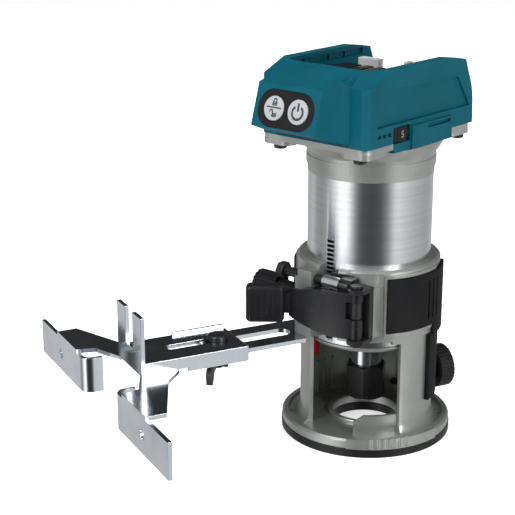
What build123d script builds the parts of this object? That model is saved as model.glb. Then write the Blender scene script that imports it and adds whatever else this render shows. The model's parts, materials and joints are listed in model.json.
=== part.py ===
from build123d import *
import math
import os

os.makedirs("parts", exist_ok=True)

# ---------------------------------------------------------------- dimensions
# Row frame: origin at the centre of the sole, +Z up, +Y towards the open end
# of the battery bay, -Y towards the button panel, rack and clamp lever.

# base
base_r = 45.4
sole_t = 5.0
opening_r = 17.5
plate_z = 8.0
rim_z = 9.8
wall_in = 33.0
wall_out = 35.4
collar_z0 = 61.0
collar_z1 = 99.3
collar_r = 37.6
running_gap = 0.05
split_x0 = -3.0
split_x1 = 8.5
window_a0 = -20.0
window_a1 = 67.0

# motor unit
tube_r = 32.5
tube_in = 30.0
tube_z0 = 56.0
tube_z1 = 143.8
neck_r = 33.3

# rack and pinion
module = 0.75
pressure_angle = 20.0
rack_pitch_r = 31.9
rack_root_r = 31.0
rack_half = 2.2
rack_z0 = 58.0
rack_z1 = 114.0
pinion_teeth = 14
pinion_z = 81.7
pinion_y = -(rack_pitch_r + module * pinion_teeth / 2)

# spindle
spindle_r = 8.1
thread_r = 7.0
nut_z0 = 17.5
nut_z1 = 36.3
nut_flats = 19.6

# housing
house_w = 33.5
house_front = -48.5
house_back = 41.6
house_z0 = 166.0
house_top = 202.3
bay_half = 27.5
bay_floor = 184.0
wall_t = 2.4

# button panel
panel_top_y = -64.8
panel_top_z = 195.6
panel_low_y = -71.2
panel_low_z = 175.2
panel_z = 184.6
button_pitch = 14.8
button_r = 6.0

# clamp lever
pin_x = 23.8
pin_y = -41.0
pin_r = 2.0
lever_r = 70.0
lever_cx = -6.0
lever_cy = 19.8
lever_t = 2.4

# straight guide: along the bar g, across it w
bar_azimuth = 22.3
wing_plane = 152.7
wing_z0 = 37.5
wing_z1 = 56.0
wing_tip = 88.0
wing_inner = 21.5


def at(angle, radius):
    """Point on a circle; the angle starts on the -Y side and grows towards +X."""
    a = math.radians(angle)
    return (radius * math.sin(a), -radius * math.cos(a))


def save(piece, label):
    piece.part.label = label
    export_step(piece.part, f"parts/{label}.step")


def ring(r_in, r_out, z0, z1, mode=Mode.ADD):
    """Hollow cylinder between two heights."""
    with BuildSketch(Plane.XY.offset(z0)) as profile:
        Circle(r_out)
        Circle(r_in, mode=Mode.SUBTRACT)
    extrude(profile.sketch, amount=z1 - z0, mode=mode)


def disc(r, z0, z1, mode=Mode.ADD):
    with BuildSketch(Plane.XY.offset(z0)) as profile:
        Circle(r)
    extrude(profile.sketch, amount=z1 - z0, mode=mode)


def block(x0, x1, y0, y1, z0, z1, mode=Mode.ADD):
    with Locations(((x0 + x1) / 2, (y0 + y1) / 2, (z0 + z1) / 2)):
        Box(x1 - x0, y1 - y0, z1 - z0, mode=mode)


def sector(a0, a1, r_in, r_out, z0, z1, mode=Mode.ADD):
    """Part of a ring between two azimuths."""
    steps = max(2, int(abs(a1 - a0) / 30) + 1)
    reach = r_out / math.cos(math.radians(abs(a1 - a0) / steps / 2)) + 1
    edge = [at(a0 + (a1 - a0) * i / steps, reach) for i in range(steps + 1)]
    with BuildSketch(Plane.XY.offset(z0)) as profile:
        Circle(r_out)
        Circle(r_in, mode=Mode.SUBTRACT)
        with BuildLine():
            Polyline((0, 0), *edge, (0, 0))
        make_face(mode=Mode.INTERSECT)
    extrude(profile.sketch, amount=z1 - z0, mode=mode)


def radial(angle, z):
    """Plane through the Z axis whose normal points outwards at an azimuth."""
    a = math.radians(angle)
    return Plane(origin=(0, 0, z), x_dir=(math.cos(a), math.sin(a), 0),
                 z_dir=(math.sin(a), -math.cos(a), 0))


def rod(plane, r, start, end, mode=Mode.ADD):
    """Cylinder along the normal of a plane."""
    with BuildSketch(plane.offset(start)) as profile:
        Circle(r)
    extrude(profile.sketch, amount=end - start, mode=mode)


def tube_rod(plane, r_in, r_out, start, end, mode=Mode.ADD):
    with BuildSketch(plane.offset(start)) as profile:
        Circle(r_out)
        Circle(r_in, mode=Mode.SUBTRACT)
    extrude(profile.sketch, amount=end - start, mode=mode)


pinion_plane = Plane(origin=(0, pinion_y, pinion_z), x_dir=(0, 1, 0), z_dir=(1, 0, 0))
bolt_y = -39.6
bolt_z = 92.6
bolt_plane = Plane(origin=(0, bolt_y, bolt_z), x_dir=(0, 1, 0), z_dir=(1, 0, 0))
pin_plane = Plane(origin=(pin_x, pin_y, 0))
knob_plane = radial(157.7, 26.0)
set_plane = radial(188.0, 13.5)
bar_a = math.radians(bar_azimuth)
guide_plane = Plane(origin=(0, 0, 0), x_dir=(-math.sin(bar_a), -math.cos(bar_a), 0),
                    z_dir=(0, 0, 1))
bar_z1 = 61.7
bar_z0 = bar_z1 - 2.2
bar_screws = [(40.9, 0.0), (43.4, 6.0)]
bolt_g = 88.0
wing_turn = 48.0
panel_len = math.hypot(panel_top_y - panel_low_y, panel_top_z - panel_low_z)
panel_up = ((panel_top_y - panel_low_y) / panel_len, (panel_top_z - panel_low_z) / panel_len)
panel_y = panel_low_y + (panel_z - panel_low_z) * panel_up[0] / panel_up[1]
panel_plane = Plane(origin=(0, panel_y, panel_z), x_dir=(1, 0, 0),
                    z_dir=(0, -panel_up[1], panel_up[0]))
seam_screws = [(-34.0, 171.4), (29.6, 171.4), (-43.2, 188.0)]
dial_x = 21.5
dial_y = -20.2
dial_r = 12.5
terminal_x = (-12.0, -4.0, 4.0, 12.0)
screw_spots = [at(47.1, 39.6), at(127.0, 39.6), at(-47.1, 39.6), at(-127.0, 39.6)]
boss_spots = [(-25.3, -42.5), (25.3, -42.5), (-28.0, 36.5), (28.0, 36.5)]
rivet_x = 24.4
rivet_z = (70.5, 88.0)
barrel_r = 3.4

# ---------------------------------------------------------------- base
with BuildPart() as base_casting:
    # plate with its raised rim
    disc(base_r - 0.4, sole_t, plate_z)
    ring(41.6, base_r - 0.4, plate_z, rim_z)
    chamfer(base_casting.edges().filter_by(GeomType.CIRCLE).group_by(Axis.Z)[-1].sort_by(
        SortBy.RADIUS)[-1], 1.0)
    # front segment of the rim stands proud and carries the grip serrations
    sector(25, 91, 41.0, base_r + 0.4, sole_t, rim_z + 0.8)
    for i in range(6):
        with BuildSketch(Plane.XY.offset(sole_t + 0.6)):
            with Locations(at(41.5 + 4.8 * i, base_r + 0.9)):
                Circle(1.25)
        extrude(amount=rim_z, mode=Mode.SUBTRACT)
    # wall and collar
    ring(wall_in, wall_out, plate_z, collar_z0 + 1)
    ring(tube_r + running_gap, collar_r, collar_z0, collar_z1)
    chamfer(base_casting.edges().filter_by(GeomType.CIRCLE).group_by(Axis.Z)[-1].sort_by(
        SortBy.RADIUS)[-1], 1.2)
    # flare where the wall meets the plate
    with BuildSketch(Plane.XZ):
        with BuildLine():
            Polyline((wall_out - 0.5, plate_z), (38.8, plate_z), (36.9, 9.6),
                     (wall_out, 13.0), (wall_out - 0.5, 13.0), (wall_out - 0.5, plate_z))
        make_face()
    revolve(axis=Axis.Z)
    # front window
    sector(window_a0, window_a1, 31.0, 41.4, plate_z, collar_z0 - 2.6, mode=Mode.SUBTRACT)
    sector(window_a0 + 8, window_a1 - 8, 31.0, 41.4, plate_z, collar_z0, mode=Mode.SUBTRACT)
    # low chip wall along the near side of the window
    sector(26.5, window_a1 + 1, 31.6, 33.4, plate_z - 0.5, 18.6)
    with BuildSketch(radial(26.5, 0).offset(28)):
        with BuildLine():
            Polyline((-1, 14), (5.5, 19), (-1, 19), (-1, 14))
        make_face()
    extrude(amount=12, mode=Mode.SUBTRACT)
    # bearing pads for the grips
    sector(49.6, 103, tube_r + 1, 38.4, 64.0, 97.0)
    sector(-130, -49.6, tube_r + 1, 38.4, 64.0, 97.0)
    sector(51.6, 101, 36.4, 39.0, 66.0, 95.2, mode=Mode.SUBTRACT)
    sector(98, 130, 36.4, 39.0, 61.0, 95.2, mode=Mode.SUBTRACT)
    sector(98, 130, 34.6, 37.0, 22.0, 62.0, mode=Mode.SUBTRACT)
    sector(-128, -51.6, 36.4, 39.0, 66.0, 95.2, mode=Mode.SUBTRACT)
    # left clamp ear with the pinion bearing
    with BuildSketch(Plane.XY.offset(61.75)):
        with BuildLine():
            Polyline((-18.0, -31.0), (-18.0, -39.0), (-15.0, -42.5), (-12.0, -44.0),
                     (-3.0, -44.0), (-3.0, -31.0), (-18.0, -31.0))
        make_face()
    extrude(amount=30.9)
    block(-12.0, -3.0, -44.0, -31.0, 92.0, 97.0)
    # right clamp ear and the lug behind the hinge
    block(split_x1, 20.0, -40.5, -31.0, 69.0, 86.0)
    block(18.0, 28.5, -33.05, -26.0, 66.0, 92.0)
    # clamp split
    block(split_x0, split_x1, -50.0, -20.0, collar_z0 - 3, collar_z1 + 1, mode=Mode.SUBTRACT)
    disc(tube_r + running_gap, collar_z0 - 5, collar_z1 + 1, mode=Mode.SUBTRACT)
    for g, w in bar_screws:
        rod(Plane(guide_plane.offset(bar_z1).location * Location((g, w, 0))), 1.52, 0, 9.0,
            mode=Mode.SUBTRACT)
    # bores
    rod(pinion_plane, 3.05, -30.0, -2.0, mode=Mode.SUBTRACT)
    rod(pinion_plane, 6.6, -7.0, 12.0, mode=Mode.SUBTRACT)
    rod(pinion_plane, 2.55, 10.0, 17.0, mode=Mode.SUBTRACT)
    rod(bolt_plane, 2.55, -30.0, 0.0, mode=Mode.SUBTRACT)
    block(split_x0, 20.3, -50.0, -33.7, 86.1, 96.8, mode=Mode.SUBTRACT)
    for z in rivet_z:
        rod(Plane(origin=(rivet_x, 0, z), x_dir=(1, 0, 0), z_dir=(0, -1, 0)), 1.62, 28.5, 34.0,
            mode=Mode.SUBTRACT)
    # boss for the clamp knob, and the set screw
    rod(knob_plane, 7.0, 33.6, 40.2)
    rod(knob_plane, 3.05, 30.0, 42.0, mode=Mode.SUBTRACT)
    rod(set_plane, 2.05, 30.0, 42.0, mode=Mode.SUBTRACT)
    # pocket for the red stop pad
    sector(-91.6, -81.7, 32.0, 34.8, 32.0, 44.3, mode=Mode.SUBTRACT)
    # ribs inside the wall
    for a in (-88, -98, -108):
        sector(a - 1.0, a + 1.0, 31.6, wall_in + 0.2, 10.0, 28.0)
    # opening through the plate
    disc(opening_r + 3.0, sole_t - 1, plate_z + 6, mode=Mode.SUBTRACT)
    with BuildSketch(Plane.XY.offset(sole_t)):
        with Locations(*screw_spots):
            Circle(1.55)
    extrude(amount=9.0, mode=Mode.SUBTRACT)

with BuildPart() as sub_base:
    disc(base_r, 0, sole_t)
    chamfer(sub_base.edges().filter_by(GeomType.CIRCLE).group_by(Axis.Z)[0], 0.8)
    disc(opening_r, -1, sole_t + 1, mode=Mode.SUBTRACT)
    with BuildSketch(Plane.XY):
        with Locations(*screw_spots):
            Circle(1.75)
    extrude(amount=sole_t, mode=Mode.SUBTRACT)
    with Locations(*[(x, y, 0) for x, y in screw_spots]):
        Cone(3.5, 1.75, 2.0, align=(Align.CENTER, Align.CENTER, Align.MIN), mode=Mode.SUBTRACT)

with BuildPart() as opening_ring:
    ring(opening_r, opening_r + 2.95, sole_t, plate_z + 1.9)
    fillet(opening_ring.edges().group_by(Axis.Z)[-1], 0.9)

with BuildPart() as sub_base_screws:
    for x, y in screw_spots:
        with Locations((x, y, 0.25)):
            Cone(3.05, 1.5, 1.75, align=(Align.CENTER, Align.CENTER, Align.MIN))
        with Locations((x, y, 1.9)):
            Cylinder(1.5, 5.6, align=(Align.CENTER, Align.CENTER, Align.MIN))
    with Locations(*[(x, y, 0.2) for x, y in screw_spots]):
        Box(0.6, 3.2, 1.4, mode=Mode.SUBTRACT)
        Box(3.2, 0.6, 1.4, mode=Mode.SUBTRACT)

with BuildPart() as grip_right:
    sector(51.9, 100.7, 36.45, 39.4, 66.3, 94.9)
    sector(98.3, 129.7, 36.45, 39.4, 60.0, 94.9)
    sector(98.3, 129.7, 34.65, 37.6, 22.3, 60.9)
    fillet(grip_right.edges().filter_by(Axis.Z).group_by(SortBy.LENGTH)[-1], 0.8)
    for a in (90, 96, 102):
        sector(a - 0.9, a + 0.9, 38.5, 40.0, 70.0, 91.0, mode=Mode.SUBTRACT)
    rod(knob_plane, 13.0, 36.0, 41.0, mode=Mode.SUBTRACT)

with BuildPart() as grip_left:
    sector(-127.7, -51.9, 36.45, 39.4, 66.3, 94.9)
    for a in (-90, -96, -102, -108):
        sector(a - 0.9, a + 0.9, 38.5, 40.0, 70.0, 91.0, mode=Mode.SUBTRACT)

with BuildPart() as stop_pad:
    sector(-91.3, -82.0, 32.75, 34.75, 32.3, 44.0)

# ---------------------------------------------------------------- lever hinge and clamp
with BuildPart() as hinge_bracket:
    # rear plate on the lug, two ears round the pin
    block(20.3, 28.5, -36.4, -33.1, 64.6, 93.6)
    for z in (64.6, 91.4):
        with BuildSketch(Plane.XY.offset(z)):
            with BuildLine():
                Polyline((20.3, -33.5), (20.3, -44.2), (22.5, -46.0), (25.8, -46.0),
                         (29.2, -42.6), (29.2, -36.0), (28.5, -33.5), (20.3, -33.5))
            make_face()
        extrude(amount=2.2)
    rod(pin_plane, pin_r + 0.03, 60, 96, mode=Mode.SUBTRACT)
    for z in rivet_z:
        rod(Plane(origin=(rivet_x, 0, z), x_dir=(1, 0, 0), z_dir=(0, -1, 0)), 1.62, 32.0, 37.0,
            mode=Mode.SUBTRACT)

with BuildPart() as bracket_rivets:
    for z in rivet_z:
        rod(Plane(origin=(rivet_x, 0, z), x_dir=(1, 0, 0), z_dir=(0, -1, 0)), 1.6, 28.6, 36.6)

with BuildPart() as hinge_pin:
    rod(pin_plane, pin_r, 63.6, 94.2)
    rod(pin_plane, 3.2, 93.7, 95.2)
    rod(pin_plane, 3.0, 62.9, 64.5)

with BuildPart() as clamp_block:
    block(3.0, 20.0, -36.2, -33.85, 86.3, 96.4)
    block(13.0, 20.0, -41.4, -36.0, 86.3, 96.4)
    chamfer(clamp_block.edges().group_by(Axis.Z)[-1].filter_by(Axis.X), 0.7)
    rod(bolt_plane, 2.55, 10.0, 19.0, mode=Mode.SUBTRACT)

with BuildPart() as tension_bolt:
    rod(bolt_plane, 2.5, -28.6, 18.6)
    chamfer(tension_bolt.edges().group_by(Axis.X)[0], 0.5)
    chamfer(tension_bolt.edges().group_by(Axis.X)[-1], 0.5)

with BuildPart() as tension_nut:
    with BuildSketch(bolt_plane.offset(-27.2)):
        RegularPolygon(4.0, 6, major_radius=False)
        Circle(2.5, mode=Mode.SUBTRACT)
    extrude(amount=4.1)

with BuildPart() as tension_sleeve:
    tube_rod(bolt_plane, 2.5, 3.3, 2.5, 12.9)

# the gear profile: involute flanks for the pinion, straight flanks for the rack
pitch = math.pi * module
pitch_r = module * pinion_teeth / 2
base_circle = pitch_r * math.cos(math.radians(pressure_angle))
tip_r = pitch_r + 0.68
root_r = pitch_r - 0.85
backlash = 0.12


def involute(radius):
    """Polar angle of the involute at a radius."""
    t = math.sqrt(max(0.0, (radius / base_circle) ** 2 - 1))
    return t - math.atan(t)


half_tooth = (math.pi / 2 - backlash / module) / pinion_teeth + involute(pitch_r)
flank = [base_circle + (tip_r - base_circle) * i / 5 for i in range(6)]


def tooth_outline(centre):
    """Corner points of one pinion tooth around a polar angle."""
    radii = [root_r - 0.3] + flank
    left = [(r, centre - half_tooth + involute(r)) for r in radii]
    right = [(r, centre + half_tooth - involute(r)) for r in reversed(radii)]
    return [(r * math.cos(t), r * math.sin(t)) for r, t in left + right]


with BuildPart() as pinion_shaft:
    rod(pinion_plane, 3.0, -42.9, -2.0)
    rod(pinion_plane, 2.5, -2.1, 16.0)
    with BuildSketch(pinion_plane.offset(-2.0)):
        Circle(root_r)
        for i in range(pinion_teeth):
            with BuildLine():
                outline = tooth_outline(2 * math.pi * (i + 0.5) / pinion_teeth)
                Polyline(*outline, outline[0])
            make_face()
    extrude(amount=4.0)
    block(-44.5, -36.0, pinion_y + 2.3, pinion_y + 4.0, pinion_z - 4, pinion_z + 4,
          mode=Mode.SUBTRACT)

with BuildPart() as adjuster_knob:
    with BuildSketch(pinion_plane.offset(-43.6)):
        Circle(7.0)
        with PolarLocations(7.25, 16):
            Circle(0.75, mode=Mode.SUBTRACT)
    extrude(amount=14.8)
    chamfer(adjuster_knob.faces().sort_by(Axis.X)[0].edges(), 0.35)
    rod(pinion_plane, 4.4, -29.0, -18.6)
    rod(pinion_plane, 3.02, -43.0, -18.0, mode=Mode.SUBTRACT)
    block(-43.0, -36.2, pinion_y + 2.35, pinion_y + 3.1, pinion_z - 1.6, pinion_z + 1.6)

tongue = [(-12.0, -48.2), (-12.0, -50.4), (-14.0, -51.6), (-27.6, -63.3), (-29.2, -61.5),
          (-15.6, -49.8), (-13.0, -48.0), (-12.0, -48.2)]
with BuildPart() as lever_body:
    with BuildSketch(Plane.XY.offset(66.95)):
        with Locations((lever_cx, lever_cy)):
            Circle(lever_r)
            Circle(lever_r - lever_t, mode=Mode.SUBTRACT)
        with BuildLine():
            Polyline((-13.0, -60.0), (26.2, -60.0), (26.2, -30.0), (-13.0, -30.0), (-13.0, -60.0))
        make_face(mode=Mode.INTERSECT)
        with Locations((pin_x, pin_y)):
            Circle(barrel_r)
    extrude(amount=24.3)
    # stiffening flanges top and bottom
    for z in (67.7, 88.6):
        with BuildSketch(Plane.XY.offset(z)):
            with Locations((lever_cx, lever_cy)):
                Circle(lever_r - 1)
                Circle(lever_r - 5.2, mode=Mode.SUBTRACT)
            with BuildLine():
                Polyline((-6.0, -60.0), (10.5, -60.0), (10.5, -30.0), (-6.0, -30.0), (-6.0, -60.0))
            make_face(mode=Mode.INTERSECT)
        extrude(amount=1.7)
    # the body narrows towards the grip
    with BuildSketch(Plane.XZ.offset(30)):
        with BuildLine():
            Polyline((-14.0, 96.0), (-14.0, 87.4), (-7.0, 88.2), (2.0, 90.6), (30.0, 91.4),
                     (30.0, 96.0), (-14.0, 96.0))
        make_face()
        with BuildLine():
            Polyline((-14.0, 60.0), (-14.0, 73.2), (-6.0, 71.0), (8.0, 67.6), (13.0, 66.8),
                     (30.0, 66.8), (30.0, 60.0), (-14.0, 60.0))
        make_face()
    extrude(amount=40, mode=Mode.SUBTRACT)
    # tongue that carries the grip
    with BuildSketch(Plane.XY.offset(74.5)):
        with BuildLine():
            Polyline(*tongue)
        make_face()
    extrude(amount=11.0)
    # slot for the link barrel
    block(20.2, 28.0, -45.2, -37.0, 77.5, 86.5, mode=Mode.SUBTRACT)
    rod(pin_plane, pin_r + 0.04, 60, 96, mode=Mode.SUBTRACT)

with BuildPart() as link_barrel:
    rod(pin_plane, 2.8, 77.8, 86.2)
    rod(pin_plane, pin_r + 0.04, 60, 96, mode=Mode.SUBTRACT)

grip_plane = Plane(origin=(-13.6, -50.6, 69.7), x_dir=(-0.7581, -0.6522, 0), z_dir=(0, 0, 1))
with BuildPart() as lever_grip:
    with BuildSketch(grip_plane):
        with BuildLine():
            Polyline((1.2, -4.2), (21.0, -4.9), (21.0, 3.6), (4.0, 3.6), (1.2, 2.6), (1.2, -4.2))
        make_face()
    extrude(amount=20.2)
    fillet(lever_grip.edges().filter_by(Plane.XY, reverse=True).filter_by(
        GeomType.LINE).group_by(Axis.Z)[0], 0.4)
    with BuildSketch(Plane.XY.offset(74.5)):
        with BuildLine():
            Polyline(*tongue)
        make_face()
    extrude(amount=11.0, mode=Mode.SUBTRACT)


# ---------------------------------------------------------------- clamp knob and small fixings
with BuildPart() as rear_knob:
    with BuildSketch(knob_plane.offset(41.6)):
        Circle(11.8)
        with PolarLocations(12.1, 30):
            Circle(0.62, mode=Mode.SUBTRACT)
    extrude(amount=8.2)
    rod(knob_plane, 6.0, 40.3, 41.7)
    rod(knob_plane, 3.02, 40.0, 46.0, mode=Mode.SUBTRACT)

with BuildPart() as rear_knob_screw:
    rod(knob_plane, 3.0, 32.9, 45.9)
    chamfer(rear_knob_screw.edges().sort_by(SortBy.DISTANCE)[0], 0.5)

with BuildPart() as set_screw:
    rod(set_plane, 2.0, 31.6, 36.0)
    with BuildSketch(set_plane.offset(31.6)):
        RegularPolygon(1.1, 6)
    extrude(amount=1.8, mode=Mode.SUBTRACT)

# ---------------------------------------------------------------- straight guide
with BuildPart() as guide_bar:
    with BuildSketch(guide_plane.offset(bar_z0)):
        with BuildLine():
            Polyline((35.6, -14.0), (96.0, -14.0), (96.0, 14.0), (44.5, 14.0), (38.4, 2.0),
                     (38.4, -1.5), (35.6, -14.0))
        make_face()
        with Locations((69.2, 0)):
            SlotOverall(44.4, 9.6, mode=Mode.SUBTRACT)
    extrude(amount=2.2)
    for g, w in bar_screws:
        spot = Plane(guide_plane.offset(bar_z0).location * Location((g, w, 0)))
        rod(spot, 1.52, -1, 4, mode=Mode.SUBTRACT)
        with Locations(spot):
            Cone(3.0, 1.5, 1.6, align=(Align.CENTER, Align.CENTER, Align.MIN), mode=Mode.SUBTRACT)

with BuildPart() as bar_fixings:
    for g, w in bar_screws:
        spot = Plane(guide_plane.offset(bar_z0).location * Location((g, w, 0)))
        rod(spot, 1.48, 1.0, 11.0)
        with Locations(spot):
            Cone(2.95, 1.48, 1.55, align=(Align.CENTER, Align.CENTER, Align.MIN))

plate_z1 = bar_z1 + 2.2
with BuildPart() as guide_plate:
    with BuildSketch(guide_plane.offset(bar_z1)):
        with Locations((106.5, 0)):
            Rectangle(57.0, 31.6)
        with Locations((100.5, 0)):
            SlotOverall(32.0, 6.1, mode=Mode.SUBTRACT)
    extrude(amount=2.2)
    # near flange in two depths, far lip turned up
    flange_runs = ((78.0, 111.0, 55.9), (111.0, 135.0, 57.9))
    for g0, g1, low in flange_runs:
        with BuildSketch(guide_plane.offset(low)):
            with Locations(((g0 + g1) / 2, 15.0)):
                Rectangle(g1 - g0, 1.6)
        extrude(amount=plate_z1 - low)
    with BuildSketch(guide_plane.offset(57.9)):
        with Locations((125.5, -15.0)):
            Rectangle(19.0, 1.6)
    extrude(amount=6.0)
    with BuildSketch(guide_plane.offset(bar_z1)):
        with Locations((92.5, -15.0)):
            Rectangle(29.0, 1.6)
    extrude(amount=3.8)
    # fork standing at the front end
    with BuildSketch(guide_plane.offset(57.9)):
        with Locations((134.9, 0)):
            Rectangle(2.2, 31.6)
    extrude(amount=29.6)
    with BuildSketch(guide_plane.offset(68.5)):
        with Locations((134.9, 0)):
            Rectangle(6.0, 9.4)
    extrude(amount=30.0, mode=Mode.SUBTRACT)

with BuildPart() as guide_fence:
    with BuildSketch(guide_plane.offset(55.7)):
        for side in (-1, 1):
            with BuildLine():
                Polyline((116.0, side * 13.9), (136.0, side * 13.9), (141.5, side * 26.0),
                         (143.0, side * 30.0), (wing_plane - 1.2, side * 32.0),
                         (wing_plane - 1.2, side * 62.0), (142.0, side * 62.0),
                         (126.0, side * 26.0), (116.0, side * 15.8), (116.0, side * 13.9))
            make_face()
        with Locations((126.0, 0)):
            Rectangle(17.0, 31.6)
    extrude(amount=2.2)
    for side in (-1, 1):
        with BuildSketch(guide_plane.offset(wing_z0)):
            with BuildLine():
                FilletPolyline((wing_plane - 10.5, side * (wing_inner + 1.1)),
                               (wing_plane - 1.1, side * (wing_inner + 1.1)),
                               (wing_plane - 1.1, side * wing_tip), radius=4.5)
            trace(line_width=2.2)
        extrude(amount=wing_z1 - wing_z0)
        with BuildSketch(guide_plane.offset(wing_z1 - 1)):
            with Locations((wing_plane - 1.1, side * 47.0)):
                Rectangle(2.2, 30.0)
        extrude(amount=2.9)
        # fixing hole in each wing
        hole = Plane(guide_plane.location * Location((wing_plane - 4, side * 57.0, 47.2), (0, 90, 0)))
        rod(hole, 2.6, 0, 8, mode=Mode.SUBTRACT)

with BuildPart() as guide_bolt:
    spot = Plane(guide_plane.location * Location((bolt_g, 0, 0)))
    rod(spot, 3.0, 49.0, plate_z1 + 0.1)
    rod(spot, 5.4, plate_z1, plate_z1 + 3.0)
    fillet(guide_bolt.edges().group_by(Axis.Z)[-1], 1.8)

with BuildPart() as guide_washer:
    tube_rod(spot, 3.05, 6.6, bar_z0 - 1.1, bar_z0)

with BuildPart() as wing_nut:
    tube_rod(spot, 3.03, 5.4, 50.6, bar_z0 - 1.15)
    wing_place = guide_plane.location * Location((bolt_g, 0, 0), (0, 0, wing_turn))
    with BuildSketch(Plane(wing_place * Location((0, 0, 0), (90, 0, 0))).offset(-1.3)):
        for side in (-1, 1):
            with BuildLine():
                Polyline((side * 4.6, 51.0), (side * 4.6, 55.3), (side * 9.5, 53.6),
                         (side * 15.0, 53.0), (side * 16.4, 50.0), (side * 15.6, 44.6),
                         (side * 12.6, 43.6), (side * 11.0, 46.0), (side * 9.5, 49.6),
                         (side * 4.6, 51.0))
            make_face()
    extrude(amount=2.6)

# ---------------------------------------------------------------- motor unit
with BuildPart() as motor_tube:
    ring(tube_in, tube_r, tube_z0, tube_z1)
    chamfer(motor_tube.edges().filter_by(GeomType.CIRCLE).group_by(Axis.Z)[0].sort_by(
        SortBy.RADIUS)[-1], 0.6)
    slope = math.tan(math.radians(pressure_angle))
    gap_count = int((rack_z1 - pinion_z) / pitch)
    gap_low = int((pinion_z - rack_z0) / pitch)
    with BuildSketch(Plane(origin=(-rack_half, 0, pinion_z), x_dir=(0, 1, 0), z_dir=(1, 0, 0))):
        for i in range(-gap_low, gap_count):
            mid = (i + 0.5) * pitch
            wide = pitch / 4 + slope * (tube_r + 0.6 - rack_pitch_r)
            narrow = pitch / 4 - slope * (rack_pitch_r - rack_root_r)
            with BuildLine():
                Polyline((-tube_r - 0.6, mid - wide), (-rack_root_r, mid - narrow),
                         (-rack_root_r, mid + narrow), (-tube_r - 0.6, mid + wide),
                         (-tube_r - 0.6, mid - wide))
            make_face()
    extrude(amount=2 * rack_half, mode=Mode.SUBTRACT)

with BuildPart() as end_bell:
    disc(tube_r - 0.2, 53.4, tube_z0)
    chamfer(end_bell.edges().group_by(Axis.Z)[0], 1.6)
    disc(tube_in - 0.05, tube_z0 - 0.5, 60.0)
    disc(17.6, 48.6, 54.0)
    fillet(end_bell.edges().group_by(Axis.Z)[0], 0.8)
    disc(15.02, 50.0, 62.0, mode=Mode.SUBTRACT)
    disc(9.6, 40.0, 62.0, mode=Mode.SUBTRACT)
    for i in range(8):
        sector(45 * i + 6, 45 * i + 39, 20.0, 28.0, 50.0, 62.0, mode=Mode.SUBTRACT)

with BuildPart() as bearings:
    tube_rod(Plane.XY, 7.52, 15.0, 50.05, 58.0)
    tube_rod(Plane.XY, 4.02, 11.0, 137.6, 144.4)

with BuildPart() as spindle:
    disc(4.0, 134.0, 146.0)
    disc(6.0, 57.0, 136.0)
    disc(7.5, 49.3, 58.2)
    disc(spindle_r, 36.4, 49.6)
    disc(thread_r, 22.4, 36.6)
    disc(5.25, 20.0, 34.5, mode=Mode.SUBTRACT)
    chamfer(spindle.edges().filter_by(GeomType.CIRCLE).group_by(Axis.Z)[0][0], 0.4)

with BuildPart() as fan:
    tube_rod(Plane.XY, 6.02, 9.0, 62.4, 74.0)
    tube_rod(Plane.XY, 8.8, 27.0, 62.4, 64.0)
    for i in range(11):
        sector(i * 360 / 11 - 1.8, i * 360 / 11 + 1.8, 8.6, 27.0, 63.8, 73.0)

with BuildPart() as rotor:
    tube_rod(Plane.XY, 6.02, 14.9, 84.0, 126.0)

with BuildPart() as stator:
    ring(24.9, 29.9, 82.0, 128.0)
    for i in range(6):
        sector(60 * i - 10, 60 * i + 10, 15.6, 25.2, 82.0, 128.0)

with BuildPart() as coils:
    for i in range(6):
        sector(60 * i + 12, 60 * i + 48, 16.4, 24.7, 78.5, 131.5)

with BuildPart() as collet:
    disc(5.2, 21.6, 34.0)
    disc(5.0, 18.2, 22.0)
    disc(3.0, 17.0, 36.0, mode=Mode.SUBTRACT)
    for i in range(3):
        with BuildSketch(radial(60 * i, 0).offset(-7)):
            with Locations((0, 20.0)):
                Rectangle(0.7, 17.0)
        extrude(amount=14, mode=Mode.SUBTRACT)

with BuildPart() as collet_nut:
    with BuildSketch(Plane.XY.offset(nut_z0)):
        RegularPolygon(nut_flats / 2, 6, major_radius=False)
    extrude(amount=nut_z1 - nut_z0)
    with BuildSketch(Plane.XZ):
        with BuildLine():
            Polyline((0, nut_z0 - 1), (9.4, nut_z0 - 1), (9.4, nut_z0), (11.6, nut_z0 + 1.4),
                     (11.6, nut_z1 - 2.0), (9.4, nut_z1), (0, nut_z1), (0, nut_z0 - 1))
        make_face()
    revolve(axis=Axis.Z, mode=Mode.INTERSECT)
    disc(thread_r + 0.05, 22.3, nut_z1 + 1, mode=Mode.SUBTRACT)
    disc(5.3, nut_z0 - 1, 23.0, mode=Mode.SUBTRACT)

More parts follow.
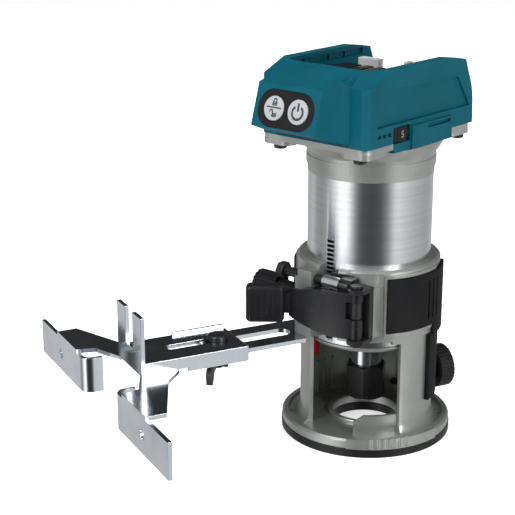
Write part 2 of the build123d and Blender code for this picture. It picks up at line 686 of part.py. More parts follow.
# cast bracket between tube and housing
with BuildPart() as motor_bracket:
    ring(tube_in, tube_r + 0.3, tube_z1, 147.8)
    ring(tube_in - 2, neck_r, 147.6, 155.0)
    ring(tube_in - 2, neck_r + 0.25, 148.2, 152.6)
    with BuildSketch(Plane.XY.offset(154.6)):
        Circle(neck_r)
    with BuildSketch(Plane.XY.offset(159.2)):
        RectangleRounded(68.4, 73.0, 31.0)
    with BuildSketch(Plane.XY.offset(163.6)):
        with Locations((0, -2.5)):
            RectangleRounded(64.0, 88.0, 9.0)
    loft(ruled=False)
    # plate under the housing with its corner pads
    with BuildSketch(Plane.XY.offset(163.0)):
        with Locations((0, (house_front + house_back) / 2)):
            RectangleRounded(2 * house_w - 0.3, house_back - house_front - 0.3, 5.0)
    extrude(amount=house_z0 - 163.0)
    for x0, x1, y0, y1 in ((15.5, 33.35, -48.35, -28.0), (17.0, 33.35, 23.0, 41.45)):
        for side in (-1, 1):
            lo = min(side * x0, side * x1)
            with BuildSketch(Plane.XY.offset(160.8)):
                with Locations(((side * (x0 + x1)) / 2, (y0 + y1) / 2)):
                    RectangleRounded(x1 - x0, y1 - y0, 4.5)
            extrude(amount=2.6)
    # room for the side aprons of the housing
    for side in (-1, 1):
        block(min(side * 26.8, side * 40), max(side * 26.8, side * 40), -26.7, 21.9, 160.9, 170,
              mode=Mode.SUBTRACT)
    disc(28.4, 146.2, 170.0, mode=Mode.SUBTRACT)
    # spider for the upper bearing
    disc(29.95, 137.6, 146.4)
    ring(28.2, 31.0, 144.4, 148.4)
    disc(11.02, 130.0, 144.5, mode=Mode.SUBTRACT)
    disc(6.0, 130.0, 150.0, mode=Mode.SUBTRACT)
    for i in range(6):
        sector(60 * i + 8, 60 * i + 52, 15.0, 26.0, 130.0, 150.0, mode=Mode.SUBTRACT)
    with Locations(*[(x, y, 165.0) for x, y in boss_spots]):
        Cylinder(1.9, 20.0, mode=Mode.SUBTRACT)

with BuildPart() as bracket_screws:
    with Locations(*[(x, y, 157.9) for x, y in boss_spots]):
        Cylinder(3.3, 2.85, align=(Align.CENTER, Align.CENTER, Align.MIN))
        Cylinder(1.8, 16.0, align=(Align.CENTER, Align.CENTER, Align.MIN))
    fillet(bracket_screws.edges().filter_by(GeomType.CIRCLE).group_by(Axis.Z)[0], 0.6)
    with BuildSketch(Plane.XY.offset(157.0)):
        with Locations(*boss_spots):
            RegularPolygon(1.6, 6)
    extrude(amount=2.4, mode=Mode.SUBTRACT)


# ---------------------------------------------------------------- housing
# wedge that lowers the outer front corner of the top
slope_plane = Plane(origin=(house_w, -30.4, house_top), x_dir=(0, 0.924, 0.383),
                    z_dir=(0.2845, -0.367, 0.8857))
with BuildPart() as corner_wedge:
    block(20.5, 40.0, -52.0, -24.0, 188.0, 215.0)
    split(bisect_by=slope_plane, keep=Keep.TOP)

with BuildPart() as shell_half:
    # button block on the front
    with BuildSketch(Plane.YZ):
        with BuildLine():
            Polyline((-40.0, 167.5), (-48.5, 167.5), (-62.0, 171.5), (panel_low_y, panel_low_z),
                     (panel_top_y, panel_top_z), (-42.0, 201.0), (-40.0, 201.0), (-40.0, 167.5))
        make_face()
    extrude(amount=24.0)
    with BuildSketch(Plane.XY.offset(160.0)):
        with BuildLine():
            Polyline((0, -80), (19.4, -80), (19.9, -66.0), (20.5, -56.0), (23.2, -48.5),
                     (23.2, -39.0), (0, -39.0), (0, -80))
        make_face()
    extrude(amount=50, mode=Mode.INTERSECT)
    # main body
    with BuildSketch(Plane.YZ):
        with BuildLine():
            Polyline((house_front, house_z0), (house_front, 195.2), (-42.0, 201.2),
                     (-38.0, house_top), (18.3, house_top), (33.6, 199.9), (39.7, 185.8),
                     (41.1, 179.1), (house_back, house_z0), (house_front, house_z0))
        make_face()
    extrude(amount=house_w)
    corner_edges = shell_half.edges().filter_by(Axis.Z).filter_by(
        lambda e: e.center().X > house_w - 0.1)
    fillet(corner_edges, 4.0)
    add(corner_wedge.part, mode=Mode.SUBTRACT)
    # apron beside the bracket
    block(27.0, house_w, -26.5, 21.7, 161.2, house_z0 + 1)
    block(house_w - 1.0, house_w + 0.9, -12.4, 21.7, 161.2, 172.8)
    # recessed field on the flank
    with BuildSketch(Plane.YZ.offset(house_w - 1.2)):
        with BuildLine():
            Polyline((-40.5, 175.5), (-31.5, 193.0), (27.0, 191.9), (38.4, 175.5), (-40.5, 175.5))
        make_face()
    extrude(amount=3, mode=Mode.SUBTRACT)
    # interior under the bay floor, battery bay, pocket behind the front wall
    block(-1, house_w - wall_t, -46.1, 38.9, house_z0 - 1, bay_floor - 2.2, mode=Mode.SUBTRACT)
    with BuildSketch(Plane.XY.offset(bay_floor)):
        with Locations((0, 6.0)):
            RectangleRounded(2 * bay_half, 88.0, 8.0)
    extrude(amount=30, mode=Mode.SUBTRACT)
    block(-1, bay_half, 20.0, 60.0, bay_floor, bay_floor + 30, mode=Mode.SUBTRACT)
    block(-1, 30.0, -46.1, -40.4, bay_floor - 3, 193.0, mode=Mode.SUBTRACT)
    with BuildSketch(panel_plane.offset(-2.6)):
        Rectangle(35.0, 17.6)
    extrude(amount=-21.0, mode=Mode.SUBTRACT)
    with BuildSketch(panel_plane.offset(-3.0)):
        RectangleRounded(34.7, 18.6, 8.7)
    extrude(amount=8.0, mode=Mode.SUBTRACT)
    block(-60, 0, -90, 60, 150, 210, mode=Mode.SUBTRACT)
    # battery rail, with pockets above it in the arm
    block(25.0, bay_half + 0.5, -28.0, 37.0, 189.0, 191.6)
    for y0, y1 in ((-25.0, -21.4), (-20.6, -1.0), (0.0, 12.0), (13.0, 27.0)):
        block(bay_half - 1, bay_half + 1.6, y0, y1, 196.6, 200.0, mode=Mode.SUBTRACT)
    # screw bosses
    with Locations(*[(x, y, house_z0 + 0.05) for x, y in boss_spots if x > 0]):
        Cylinder(4.0, 9.0, align=(Align.CENTER, Align.CENTER, Align.MIN))
        Cylinder(1.85, 9.0, align=(Align.CENTER, Align.CENTER, Align.MIN), mode=Mode.SUBTRACT)
    for y, z in seam_screws:
        rod(Plane(origin=(0, y, z), x_dir=(0, 1, 0), z_dir=(1, 0, 0)), 4.0, 0, house_w - 1)

with BuildPart() as housing_right:
    add(shell_half.part)
    for y, z in seam_screws:
        rod(Plane(origin=(0, y, z), x_dir=(0, 1, 0), z_dir=(1, 0, 0)), 1.45, -1, 14.0,
            mode=Mode.SUBTRACT)
    # window for the speed dial, and the slot with its tie hole
    block(29.0, 36.0, -27.2, -13.2, 165.7, 173.9, mode=Mode.SUBTRACT)
    rod(Plane(origin=(dial_x, dial_y, 0)), dial_r + 0.35, 165.7, 173.9, mode=Mode.SUBTRACT)
    block(32.9, 36.0, 0.6, 20.4, 169.8, 171.8, mode=Mode.SUBTRACT)
    for i in range(3):
        block(30.0, 36.0, -39.5 + 4.0 * i, -37.0 + 4.0 * i, 170.2, 172.0, mode=Mode.SUBTRACT)

with BuildPart() as housing_left:
    add(shell_half.part)
    mirror(about=Plane.YZ, mode=Mode.REPLACE)
    for y, z in seam_screws:
        axis_plane = Plane(origin=(0, y, z), x_dir=(0, 1, 0), z_dir=(1, 0, 0))
        rod(axis_plane, 1.7, -40.0, 1.0, mode=Mode.SUBTRACT)
        rod(axis_plane, 3.0, -40.0, -28.0, mode=Mode.SUBTRACT)
    for i in range(7):
        block(-36.0, -30.0, -22.0 + 5.0 * i, -19.4 + 5.0 * i, 168.0, 173.0, mode=Mode.SUBTRACT)

with BuildPart() as housing_screws:
    for y, z in seam_screws:
        axis_plane = Plane(origin=(0, y, z), x_dir=(0, 1, 0), z_dir=(1, 0, 0))
        rod(axis_plane, 1.4, -28.0, 12.0)
        rod(axis_plane, 2.8, -30.2, -28.0)
    for y, z in seam_screws:
        with Locations((-30.2, y, z)):
            Box(2.4, 0.7, 3.4, mode=Mode.SUBTRACT)
            Box(2.4, 3.4, 0.7, mode=Mode.SUBTRACT)

# ---------------------------------------------------------------- button panel
button_spots = [(-button_pitch / 2, 0), (button_pitch / 2, 0)]
with BuildPart() as button_panel:
    with BuildSketch(panel_plane.offset(-2.45)):
        RectangleRounded(34.5, 18.4, 8.6)
    extrude(amount=2.25)
    for x, y in button_spots:
        rod(Plane(panel_plane.location * Location((x, y, 0))), button_r + 0.15, -5, 2,
            mode=Mode.SUBTRACT)


def button_shape(x):
    """Cap, retaining flange and stem of one button."""
    place = Plane(panel_plane.location * Location((x, 0, 0)))
    rod(place, button_r, -4.2, 0.35)
    rod(place, 6.9, -4.2, -2.6)
    rod(place, 1.6, -8.0, -4.1)


with BuildPart() as lock_button:
    button_shape(-button_pitch / 2)
    fillet(lock_button.faces().sort_by(Axis.Y)[0].edges(), 0.3)

with BuildPart() as power_button:
    button_shape(button_pitch / 2)
    fillet(power_button.faces().sort_by(Axis.Y)[0].edges(), 0.3)

with BuildPart() as switch_board:
    with BuildSketch(panel_plane.offset(-13.2)):
        Rectangle(34.0, 16.6)
    extrude(amount=1.6)

with BuildPart() as switches:
    with BuildSketch(panel_plane.offset(-11.6)):
        with Locations(*button_spots):
            Rectangle(6.0, 6.0)
    extrude(amount=1.6)
    with BuildSketch(panel_plane.offset(-10.1)):
        with Locations(*button_spots):
            Circle(1.7)
    extrude(amount=0.8)

# ---------------------------------------------------------------- electronics, dial, terminals
with BuildPart() as control_board:
    with BuildSketch(Plane.XY.offset(178.0)):
        with Locations((0, -2.0)):
            Rectangle(50.0, 60.0)
        with Locations((0, 0)):
            Circle(5.0, mode=Mode.SUBTRACT)
    extrude(amount=1.6)

with BuildPart() as board_parts:
    for x, y, w, d, h in ((-19.0, 12.0, 10.0, 9.0, 6.5), (-18.0, -14.0, 9.0, 9.0, 5.0),
                          (8.0, 20.0, 14.0, 8.0, 4.0)):
        block(x - w / 2, x + w / 2, y - d / 2, y + d / 2, 178.0 - h, 178.0)

with BuildPart() as dial_post:
    post = Plane(origin=(dial_x, dial_y, 0))
    rod(post, 4.6, 174.2, 178.0)
    rod(post, 2.5, 166.4, 174.3)

with BuildPart() as speed_dial:
    with BuildSketch(Plane.XY.offset(166.3)):
        with Locations((dial_x, dial_y)):
            Circle(dial_r)
            with PolarLocations(dial_r + 0.2, 40):
                Circle(0.5, mode=Mode.SUBTRACT)
            Circle(2.55, mode=Mode.SUBTRACT)
    extrude(amount=7.3)

with BuildPart() as terminal_block:
    block(-24.0, 24.0, -36.8, 8.0, bay_floor, 195.0)
    block(-30.0, -15.0, -30.0, 10.0, 188.0, 193.0, mode=Mode.SUBTRACT)
    block(15.0, 30.0, -30.0, 10.0, 188.0, 193.0, mode=Mode.SUBTRACT)
    for x in terminal_x:
        block(x - 1.6, x + 1.6, -30.0, 9.0, 189.5, 197.0, mode=Mode.SUBTRACT)
    fillet(terminal_block.edges().filter_by(Axis.Z).group_by(Axis.Y)[0], 4.0)

with BuildPart() as terminals:
    for x in terminal_x:
        block(x - 0.5, x + 0.5, -28.0, 5.0, 189.5, 194.6)

with BuildPart() as bay_latch:
    block(-16.0, -3.5, 8.1, 13.0, bay_floor, 198.5)
    block(25.6, bay_half, -9.5, -4.5, 196.4, 203.2)

with BuildPart() as motor_leads:
    for a in (90, 210, 330):
        x, y = at(a, 21.0)
        rod(Plane(origin=(x, y, 0)), 1.0, 131.5, 178.0)

pieces = {
    "base_casting": base_casting, "sub_base": sub_base, "opening_ring": opening_ring,
    "sub_base_screws": sub_base_screws, "grip_right": grip_right, "grip_left": grip_left,
    "stop_pad": stop_pad, "hinge_bracket": hinge_bracket, "bracket_rivets": bracket_rivets,
    "hinge_pin": hinge_pin, "clamp_block": clamp_block, "tension_bolt": tension_bolt,
    "tension_nut": tension_nut, "tension_sleeve": tension_sleeve,
    "pinion_shaft": pinion_shaft, "adjuster_knob": adjuster_knob,
    "lever_body": lever_body, "link_barrel": link_barrel, "lever_grip": lever_grip,
    "rear_knob": rear_knob, "rear_knob_screw": rear_knob_screw, "set_screw": set_screw,
    "guide_bar": guide_bar, "bar_fixings": bar_fixings, "guide_plate": guide_plate,
    "guide_fence": guide_fence, "guide_bolt": guide_bolt, "guide_washer": guide_washer,
    "wing_nut": wing_nut, "motor_tube": motor_tube, "end_bell": end_bell,
    "bearings": bearings, "spindle": spindle, "fan": fan, "rotor": rotor, "stator": stator,
    "coils": coils, "collet": collet, "collet_nut": collet_nut,
    "motor_bracket": motor_bracket, "bracket_screws": bracket_screws,
    "housing_right": housing_right, "housing_left": housing_left,
    "housing_screws": housing_screws, "button_panel": button_panel,
    "lock_button": lock_button, "power_button": power_button, "switch_board": switch_board,
    "switches": switches, "control_board": control_board, "board_parts": board_parts,
    "dial_post": dial_post, "speed_dial": speed_dial, "terminal_block": terminal_block,
    "terminals": terminals, "bay_latch": bay_latch, "motor_leads": motor_leads,
}
for label, piece in pieces.items():
    save(piece, label)
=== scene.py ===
"""Looks of the trim router: materials, softened shells, icons, studio and camera."""

import bmesh
import bpy
import json
import math
from mathutils import Matrix, Vector


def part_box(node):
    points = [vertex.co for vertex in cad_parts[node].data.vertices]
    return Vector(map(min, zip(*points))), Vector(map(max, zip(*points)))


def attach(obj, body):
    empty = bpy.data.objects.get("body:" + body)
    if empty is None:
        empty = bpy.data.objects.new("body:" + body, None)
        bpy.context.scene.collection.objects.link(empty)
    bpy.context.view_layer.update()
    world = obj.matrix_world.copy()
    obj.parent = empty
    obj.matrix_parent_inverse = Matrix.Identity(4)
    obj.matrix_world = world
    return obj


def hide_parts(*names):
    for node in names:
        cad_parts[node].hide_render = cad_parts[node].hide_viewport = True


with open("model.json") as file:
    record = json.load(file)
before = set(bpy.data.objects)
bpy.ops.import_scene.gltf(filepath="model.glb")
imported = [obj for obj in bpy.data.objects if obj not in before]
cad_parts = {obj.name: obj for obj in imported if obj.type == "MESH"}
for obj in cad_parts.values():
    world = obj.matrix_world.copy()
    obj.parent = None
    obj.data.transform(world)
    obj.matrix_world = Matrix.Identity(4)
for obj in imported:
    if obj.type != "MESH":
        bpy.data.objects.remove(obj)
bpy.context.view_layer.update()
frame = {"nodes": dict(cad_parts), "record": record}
record = frame["record"]
MM = 0.001
body_of = {node: body for body, nodes in record["behaviour"]["bodies"].items() for node in nodes}
slot_of = {part["node"]: part["material_slot"] for part in record["subparts"]}
joints = {joint["name"]: joint for joint in record["behaviour"]["joints"]}


# ---------------------------------------------------------------- materials
def material(name, dark, light, rough, metal=0.0, grain=0.0, grain_size=400.0, cloud=60.0,
             stretch=(1, 1, 1), rough_spread=0.06, coat=0.0, level=0.5, aniso=0.0):
    """Procedural finish: colour clouds, uneven gloss and a fine surface grain."""
    mat = bpy.data.materials.new(name)
    mat.use_nodes = True
    nodes = mat.node_tree.nodes
    links = mat.node_tree.links
    surface = nodes["Principled BSDF"]
    surface.inputs["Metallic"].default_value = metal
    surface.inputs["Specular IOR Level"].default_value = level
    surface.inputs["Coat Weight"].default_value = coat
    surface.inputs["Anisotropic"].default_value = aniso
    place = nodes.new("ShaderNodeTexCoord")
    scale = nodes.new("ShaderNodeMapping")
    scale.inputs["Scale"].default_value = stretch
    links.new(place.outputs["Object"], scale.inputs["Vector"])

    def noise(size, detail=4.0):
        node = nodes.new("ShaderNodeTexNoise")
        node.inputs["Scale"].default_value = size
        node.inputs["Detail"].default_value = detail
        links.new(scale.outputs["Vector"], node.inputs["Vector"])
        return node.outputs["Fac"]

    ramp = nodes.new("ShaderNodeValToRGB")
    ramp.color_ramp.elements[0].position = 0.3
    ramp.color_ramp.elements[1].position = 0.7
    ramp.color_ramp.elements[0].color = (*dark, 1)
    ramp.color_ramp.elements[1].color = (*light, 1)
    links.new(noise(cloud), ramp.inputs["Fac"])
    links.new(ramp.outputs["Color"], surface.inputs["Base Color"])
    gloss = nodes.new("ShaderNodeMapRange")
    gloss.inputs["To Min"].default_value = max(0.02, rough - rough_spread)
    gloss.inputs["To Max"].default_value = min(1.0, rough + rough_spread)
    links.new(noise(cloud * 2.3), gloss.inputs["Value"])
    links.new(gloss.outputs["Result"], surface.inputs["Roughness"])
    if grain:
        bump = nodes.new("ShaderNodeBump")
        bump.inputs["Strength"].default_value = grain
        bump.inputs["Distance"].default_value = 0.0002
        links.new(noise(grain_size, 2.0), bump.inputs["Height"])
        links.new(bump.outputs["Normal"], surface.inputs["Normal"])
    return mat


finishes = {
    "cast_grey": material("cast_paint", (0.29, 0.303, 0.288), (0.35, 0.363, 0.346), 0.34,
                          metal=0.72, grain=0.35, grain_size=900, cloud=45),
    "sole_plastic": material("sole_satin", (0.006, 0.006, 0.007), (0.010, 0.010, 0.011), 0.4,
                             grain=0.2, level=0.25),
    "machined_alloy": material("turned_alloy", (0.63, 0.64, 0.66), (0.69, 0.70, 0.72), 0.25,
                               metal=1.0, grain=0.06, grain_size=30, cloud=9,
                               stretch=(1, 1, 60), rough_spread=0.04),
    "teal_plastic": material("teal_shell", (0.0, 0.058, 0.083), (0.0, 0.068, 0.097), 0.5,
                             grain=0.22, grain_size=1600, cloud=50, level=0.1),
    "rubber_black": material("grip_rubber", (0.005, 0.005, 0.006), (0.008, 0.008, 0.009), 0.66,
                             grain=0.5, grain_size=1500, level=0.12),
    "black_plastic": material("black_moulding", (0.006, 0.006, 0.007), (0.010, 0.010, 0.011),
                              0.36, grain=0.2, grain_size=1300, level=0.2),
    "panel_black": material("panel_film", (0.008, 0.007, 0.008), (0.012, 0.010, 0.011), 0.35,
                            grain=0.1, level=0.15),
    "button_white": material("button_face", (0.27, 0.28, 0.30), (0.31, 0.32, 0.34), 0.5,
                             grain=0.05),
    "zinc_steel": material("zinc_plate", (0.50, 0.54, 0.59), (0.68, 0.71, 0.75), 0.17, metal=1.0,
                           grain=0.08, grain_size=500, cloud=25, rough_spread=0.05),
    "black_steel": material("black_oxide", (0.010, 0.010, 0.011), (0.022, 0.022, 0.024), 0.3,
                            metal=0.3, grain=0.25, grain_size=900),
    "bright_steel": material("bright_steel", (0.52, 0.53, 0.55), (0.68, 0.69, 0.71), 0.2,
                             metal=1.0, grain=0.08),
    "red_plastic": material("red_moulding", (0.40, 0.008, 0.006), (0.5, 0.014, 0.01), 0.4,
                            grain=0.1),
    "light_plastic": material("light_moulding", (0.32, 0.33, 0.34), (0.38, 0.39, 0.40), 0.45,
                              grain=0.1),
    "board_green": material("board_lacquer", (0.004, 0.045, 0.018), (0.006, 0.06, 0.026), 0.35,
                            grain=0.1),
    "copper": material("winding_copper", (0.35, 0.12, 0.05), (0.5, 0.2, 0.09), 0.35, metal=1.0,
                       grain=0.6, grain_size=700, stretch=(1, 1, 6)),
    "brass": material("contact_brass", (0.55, 0.38, 0.15), (0.68, 0.5, 0.22), 0.3, metal=1.0,
                      grain=0.1),
}
ink = material("icon_ink", (0.01, 0.01, 0.012), (0.02, 0.02, 0.022), 0.5, grain=0.05)

for node, cad in frame["nodes"].items():
    if not cad.material_slots:
        cad.data.materials.append(None)
    for held in cad.material_slots:
        held.link = "OBJECT"
        held.material = finishes[slot_of[node]]


def rack_gap_shade(mat, radius):
    """Painted shade: darkens the alloy that lies closer to the spindle axis, in the gaps of the
    rack.
    """
    nodes = mat.node_tree.nodes
    links = mat.node_tree.links
    surface = nodes["Principled BSDF"]
    colour = surface.inputs["Base Color"].links[0].from_socket
    place = nodes.new("ShaderNodeTexCoord")
    flat = nodes.new("ShaderNodeVectorMath")
    flat.operation = "MULTIPLY"
    flat.inputs[1].default_value = (1, 1, 0)
    links.new(place.outputs["Object"], flat.inputs[0])
    reach = nodes.new("ShaderNodeVectorMath")
    reach.operation = "LENGTH"
    links.new(flat.outputs[0], reach.inputs[0])
    inside = nodes.new("ShaderNodeMath")
    inside.operation = "LESS_THAN"
    inside.inputs[1].default_value = radius
    links.new(reach.outputs["Value"], inside.inputs[0])
    mix = nodes.new("ShaderNodeMix")
    mix.data_type = "RGBA"
    # near-black colour of the painted shade in the rack gaps
    mix.inputs[7].default_value = (0.03, 0.03, 0.032, 1)
    links.new(inside.outputs[0], mix.inputs["Factor"])
    links.new(colour, mix.inputs[6])
    links.new(mix.outputs[2], surface.inputs["Base Color"])
    return mat


# ---------------------------------------------------------------- piece builders
def piece(mesh, name, body, slot, finish=None, replaces=()):
    obj = bpy.data.objects.new(name, mesh)
    bpy.context.collection.objects.link(obj)
    mesh.materials.clear()
    mesh.materials.append(finish or finishes[slot])
    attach(obj, body)
    if replaces:
        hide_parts(*replaces)
    return obj


def soften(node, width, segments=2, angle=32.0, finish=None):
    """Copy of a CAD node with rounded edges, which stands for that node."""
    work = bmesh.new()
    work.from_mesh(frame["nodes"][node].data)
    bmesh.ops.remove_doubles(work, verts=work.verts, dist=1e-6)
    bmesh.ops.dissolve_limit(work, angle_limit=math.radians(0.6), verts=work.verts,
                             edges=work.edges)
    mesh = bpy.data.meshes.new(f"{node}_shell")
    work.to_mesh(mesh)
    work.free()
    mesh.shade_smooth()
    mesh.set_sharp_from_angle(angle=math.radians(angle))
    obj = piece(mesh, f"{node}_shell", body_of[node], slot_of[node], finish, replaces=[node])
    bevel = obj.modifiers.new("edges", "BEVEL")
    bevel.width = width * MM
    bevel.segments = segments
    bevel.limit_method = "ANGLE"
    bevel.angle_limit = math.radians(angle)
    bevel.use_clamp_overlap = True
    bevel.harden_normals = True
    return obj


def rounded_box(work, place, low, high, radius):
    """Adds a box between two corners, with all its edges rounded."""
    size = Vector(high) - Vector(low)
    middle = (Vector(high) + Vector(low)) / 2
    shape = place @ Matrix.Translation(middle) @ Matrix.Diagonal((*size, 1))
    made = bmesh.ops.create_cube(work, size=1.0, matrix=shape)
    edges = list({edge for vert in made["verts"] for edge in vert.link_edges})
    bmesh.ops.bevel(work, geom=edges, offset=radius, segments=5, profile=0.5, affect="EDGES")


def wires(name, paths, radius, place, body, slot, finish, flat=0.25):
    """Printed line work: thin flattened strokes lying on a surface."""
    curve = bpy.data.curves.new(name, "CURVE")
    curve.dimensions = "3D"
    curve.bevel_depth = radius
    curve.bevel_resolution = 2
    curve.use_fill_caps = True
    for points in paths:
        spline = curve.splines.new("POLY")
        spline.points.add(len(points) - 1)
        for dot, (x, y) in zip(spline.points, points):
            dot.co = (x, y, 0, 1)
    holder = bpy.data.objects.new(name, curve)
    bpy.context.collection.objects.link(holder)
    bpy.context.view_layer.update()
    solved = holder.evaluated_get(bpy.context.evaluated_depsgraph_get())
    mesh = bpy.data.meshes.new_from_object(solved)
    bpy.data.objects.remove(holder)
    mesh.transform(place @ Matrix.Diagonal((1, 1, flat, 1)))
    mesh.shade_smooth()
    return piece(mesh, name, body, slot, finish)


def arc(cx, cy, r, start, end, steps=24):
    turn = [math.radians(start + (end - start) * i / steps) for i in range(steps + 1)]
    return [(cx + r * math.cos(t), cy + r * math.sin(t)) for t in turn]


# ---------------------------------------------------------------- softened shells
soft_edges = {
    "housing_right": 0.7, "housing_left": 0.7, "base_casting": 0.45, "motor_bracket": 0.6,
    "sub_base": 0.3, "opening_ring": 0.2, "grip_right": 0.6, "grip_left": 0.6,
    "hinge_bracket": 0.25, "clamp_block": 0.4, 
    "link_barrel": 0.2, "hinge_pin": 0.3, "tension_bolt": 0.2, "tension_nut": 0.3,
    "adjuster_knob": 0.25, "rear_knob": 0.3, "guide_bar": 0.25, "guide_plate": 0.5,
    "guide_fence": 0.5, "guide_bolt": 0.2, "wing_nut": 0.5, "collet_nut": 0.35,
    "collet": 0.15, "bracket_screws": 0.2, "button_panel": 0.3, "lock_button": 0.2,
    "power_button": 0.2, "speed_dial": 0.2, "terminal_block": 0.4, "terminals": 0.15,
    "bay_latch": 0.3, "end_bell": 0.3, "stop_pad": 0.3,
}
for node, width in soft_edges.items():
    soften(node, width)


# thumb grip of the lever: a rounded pad with upright ribs, lying in the CAD grip's own box
rib_count = 5
rib_first = 5.0 * MM
rib_pitch = 2.9 * MM
rib_width = 1.5 * MM
rib_sunk = 1.2 * MM
rib_margin = 3.4 * MM
rib_proud = 0.4 * MM
grip_verts = [v.co for v in frame["nodes"]["lever_grip"].data.vertices]
grip_along = Vector((-0.7581, -0.6522, 0))
grip_front = Vector((0.6522, -0.7581, 0))
reach_along = [grip_along.dot(v) for v in grip_verts]
reach_front = [grip_front.dot(v) for v in grip_verts]
grip_low, grip_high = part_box("lever_grip")
grip_place = Matrix((grip_along, grip_front, Vector((0, 0, 1)))).transposed().to_4x4()
grip_work = bmesh.new()
rounded_box(grip_work, grip_place, (min(reach_along), min(reach_front), grip_low.z),
            (max(reach_along), max(reach_front) - rib_proud, grip_high.z), 2.6 * MM)
for rib in range(rib_count):
    start = min(reach_along) + rib_first + rib_pitch * rib
    rounded_box(grip_work, grip_place,
                (start, max(reach_front) - rib_sunk, grip_low.z + rib_margin),
                (start + rib_width, max(reach_front), grip_high.z - rib_margin), 0.35 * MM)
bmesh.ops.recalc_face_normals(grip_work, faces=grip_work.faces)
grip_mesh = bpy.data.meshes.new("lever_grip_pad")
grip_work.to_mesh(grip_mesh)
grip_work.free()
grip_mesh.shade_smooth()
grip_mesh.set_sharp_from_angle(angle=math.radians(40))
piece(grip_mesh, "lever_grip_pad", body_of["lever_grip"], slot_of["lever_grip"],
      replaces=["lever_grip"])
soften("lever_body", 0.5, segments=3,
       finish=material("lever_gloss", (0.005, 0.005, 0.006), (0.008, 0.008, 0.009), 0.26,
                       grain=0.15, grain_size=900, level=0.4))

# motor tube, with painted shade in the gaps of its rack
tube_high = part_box("motor_tube")[1]
rack_skin = 0.5 * MM
tube_finish = material("tube_alloy", (0.63, 0.64, 0.66), (0.69, 0.70, 0.72), 0.25, metal=1.0,
                       grain=0.02, grain_size=30, cloud=9, stretch=(1, 1, 60), rough_spread=0.015)
soften("motor_tube", 0.12, finish=rack_gap_shade(tube_finish, tube_high.x - rack_skin))

# ---------------------------------------------------------------- button icons
press = Vector(joints["lock_press"]["axis"])
side = Vector((1, 0, 0))
rise = (-press).cross(side)


def button_face(node):
    """Matrix of the button's outer face: local x right, y up, z outwards."""
    corners = [v.co for v in frame["nodes"][node].data.vertices]
    top = max((-press).dot(c) for c in corners)
    cap = [c for c in corners if (-press).dot(c) > top - 0.2 * MM]
    middle = sum(cap, Vector()) / len(cap)
    middle += -press * (top - (-press).dot(middle))
    basis = Matrix((side, rise, -press)).transposed().to_4x4()
    return Matrix.Translation(middle) @ basis


def padlock(cx, cy, open_shackle):
    """Body outline, keyhole bar and shackle of a small padlock."""
    w = 1.2 * MM
    h = 1.5 * MM
    body = [(cx - w, cy - h), (cx + w, cy - h), (cx + w, cy), (cx - w, cy), (cx - w, cy - h)]
    fill = [(cx - w, cy - h / 2), (cx + w, cy - h / 2)]
    shift = -2.05 * MM if open_shackle else 0.0
    bow = arc(cx + shift, cy + 0.8 * MM, 0.85 * MM, 0, 180)
    legs = [(cx + shift + 0.85 * MM, cy)] + bow + [(cx + shift - 0.85 * MM, cy + 0.2 * MM)]
    return [body, fill, legs]


def icon(node, name, paths, radius):
    body = body_of[node]
    wires(name, paths, radius, button_face(node), body, "black_plastic", ink)


icon("lock_button", "lock_icons",
     padlock(0.2 * MM, 3.0 * MM, False) + padlock(0.9 * MM, -2.5 * MM, True)
     + [[(-4.4 * MM, 0.35 * MM), (4.4 * MM, 0.35 * MM)]], 0.34 * MM)
icon("power_button", "power_icon",
     [arc(0, -0.4 * MM, 3.2 * MM, 125, 415, 40), [(0, 0.3 * MM), (0, 4.2 * MM)]], 0.6 * MM)

# ---------------------------------------------------------------- digits on the speed dial
digit_paths = {
    1: [[(-0.4, 0.7), (0, 1), (0, -1)]],
    2: [[(-0.55, 0.6), (-0.3, 1), (0.3, 1), (0.55, 0.6), (0.45, 0.2), (-0.6, -1), (0.6, -1)]],
    3: [[(-0.55, 1), (0.5, 1), (0, 0.2), (0.5, -0.1), (0.5, -0.7), (0.2, -1), (-0.55, -0.9)]],
    4: [[(0.3, -1), (0.3, 1), (-0.6, -0.4), (0.6, -0.4)]],
    5: [[(0.5, 1), (-0.4, 1), (-0.5, 0.1), (0.2, 0.2), (0.55, -0.2), (0.5, -0.7), (0.1, -1),
         (-0.55, -0.8)]],
    6: [[(0.4, 1), (-0.3, 0.5), (-0.55, -0.3), (-0.3, -1), (0.3, -1), (0.55, -0.5), (0.2, 0),
         (-0.5, -0.2)]],
}
dial_low, dial_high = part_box("speed_dial")
dial_axis = Vector(joints["dial_turn"]["pos_m"])
dial_axis.z = (dial_low.z + dial_high.z) / 2
drum_r = dial_high.x - dial_axis.x
facing = Matrix(((0, 0, 1), (1, 0, 0), (0, 1, 0))).to_4x4()
shown_digit = 5
digit_step = 36.0
digit_half = 1.5 * MM
for digit, paths in digit_paths.items():
    turn = Matrix.Rotation(math.radians((digit - shown_digit) * digit_step), 4, "Z")
    place = Matrix.Translation(dial_axis) @ turn @ Matrix.Translation((drum_r, 0, 0)) @ facing
    sized = [[(x * digit_half, y * digit_half) for x, y in path] for path in paths]
    wires(f"dial_digit_{digit}", sized, 0.2 * MM, place, "dial", "button_white",
          finishes["button_white"])

# ---------------------------------------------------------------- studio
def area_light(name, where, target, size, power, tint=(1, 1, 1)):
    lamp = bpy.data.lights.new(name, "AREA")
    lamp.shape = "RECTANGLE"
    lamp.size = size[0]
    lamp.size_y = size[1]
    lamp.energy = power
    lamp.color = tint
    holder = bpy.data.objects.new(name, lamp)
    bpy.context.collection.objects.link(holder)
    holder.location = where
    holder.rotation_euler = (Vector(target) - Vector(where)).to_track_quat("-Z", "Y").to_euler()
    return holder


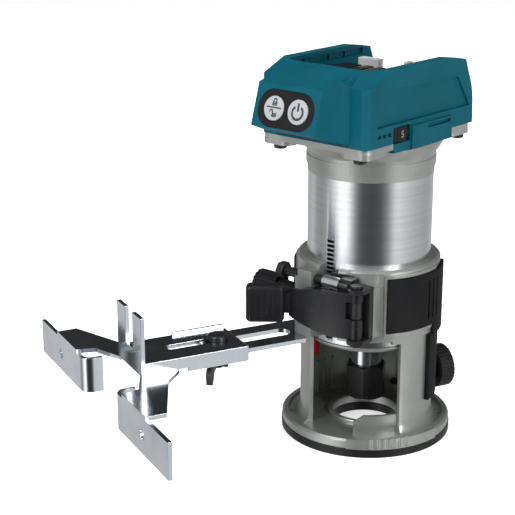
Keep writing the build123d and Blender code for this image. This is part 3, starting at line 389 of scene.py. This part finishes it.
centre = Vector((0, -0.03, 0.1))
area_light("key", (-0.10, -1.05, 0.85), centre, (0.5, 0.6), 12)
area_light("fill", (1.1, -0.15, 0.5), centre, (0.4, 0.8), 8)
for lamp in (area_light("top", (0.0, -0.1, 1.3), centre, (0.8, 0.8), 8),
             area_light("rim", (-0.7, 0.8, 0.7), centre, (0.4, 0.9), 6)):
    lamp.visible_glossy = False

# Surroundings as bands: (turn from the camera's side in degrees, brightness). The lower set is
# what upright metal mirrors, the upper set is what level metal mirrors.
lower_bands = [(-139, 0.5), (-128, 0.75), (-116, 0.4), (-96, 0.33), (-81, 0.5), (-67, 1.0),
               (-56, 1.7), (-40, 1.7), (-31, 0.5), (-20, 0.06), (14, 0.04), (26, 0.08), (37, 0.3),
               (48, 0.95), (61, 0.8), (88, 0.6), (125, 0.45), (160, 0.6)]
upper_bands = [(-150, 0.04), (-110, 0.25), (-60, 0.6), (0, 0.45), (60, 0.6), (120, 0.2),
               (160, 0.03)]
camera_spot = Vector((0.4344, -0.5796, 0.324))
camera_turn = math.degrees(math.atan2(camera_spot.y, camera_spot.x))


def band_ramp(tree, bands, turn):
    """Brightness round the object, blended between the bands."""
    ramp = tree.nodes.new("ShaderNodeValToRGB")
    stops = sorted((((camera_turn + a) / 360 + 0.5) % 1.0, v) for a, v in bands)
    first, last = stops[0], stops[-1]
    gap = first[0] + 1 - last[0]
    edge = last[1] + (first[1] - last[1]) * (1 - last[0]) / gap
    stops = [(0.0, edge)] + stops + [(1.0, edge)]
    elements = ramp.color_ramp.elements
    for place, value in stops[1:-1]:
        elements.new(place).color = (value, value, value, 1)
    elements[0].color = (edge, edge, edge, 1)
    elements[len(elements) - 1].color = (edge, edge, edge, 1)
    tree.links.new(turn, ramp.inputs["Fac"])
    return ramp.outputs["Color"]


world = bpy.data.worlds.new("studio")
world.use_nodes = True
tree = world.node_tree
where = tree.nodes.new("ShaderNodeTexCoord")
turn = tree.nodes.new("ShaderNodeTexGradient")
turn.gradient_type = "RADIAL"
tree.links.new(where.outputs["Generated"], turn.inputs["Vector"])
split = tree.nodes.new("ShaderNodeSeparateXYZ")
tree.links.new(where.outputs["Generated"], split.inputs["Vector"])
height = tree.nodes.new("ShaderNodeMapRange")
height.inputs["From Min"].default_value = -0.08
height.inputs["From Max"].default_value = 0.12
tree.links.new(split.outputs["Z"], height.inputs["Value"])
blend = tree.nodes.new("ShaderNodeMix")
blend.data_type = "RGBA"
tree.links.new(height.outputs["Result"], blend.inputs["Factor"])
tree.links.new(band_ramp(tree, lower_bands, turn.outputs["Fac"]), blend.inputs[6])
tree.links.new(band_ramp(tree, upper_bands, turn.outputs["Fac"]), blend.inputs[7])
tree.links.new(blend.outputs[2], tree.nodes["Background"].inputs["Color"])
tree.nodes["Background"].inputs["Strength"].default_value = 1.0
bpy.context.scene.world = world

floor_mesh = bpy.data.meshes.new("floor")
reach = 6.0
floor_mesh.from_pydata([(-reach, -reach, 0), (reach, -reach, 0), (reach, reach, 0),
                        (-reach, reach, 0)], [], [(0, 1, 2, 3)])
paper = material("floor_paper", (0.86, 0.86, 0.86), (0.88, 0.88, 0.88), 0.9, level=0.1)
paper.node_tree.nodes["Principled BSDF"].inputs["Emission Color"].default_value = (1, 1, 1, 1)
paper.node_tree.nodes["Principled BSDF"].inputs["Emission Strength"].default_value = 0.6
floor_mesh.materials.append(paper)
floor = bpy.data.objects.new("floor", floor_mesh)
bpy.context.collection.objects.link(floor)
floor.visible_glossy = False
bpy.context.scene.view_settings.view_transform = "Standard"

camera_data = bpy.data.cameras.new("camera")
camera_data.lens = 100.3
camera_data.sensor_width = 36.0
camera = bpy.data.objects.new("camera", camera_data)
bpy.context.collection.objects.link(camera)
pitch = math.radians(17.6)
heading = Vector((-0.6626, 0.749, 0)).normalized()
camera.location = camera_spot
look = heading * math.cos(pitch) + Vector((0, 0, -math.sin(pitch)))
camera.rotation_euler = look.to_track_quat("-Z", "Y").to_euler()
bpy.context.scene.camera = camera
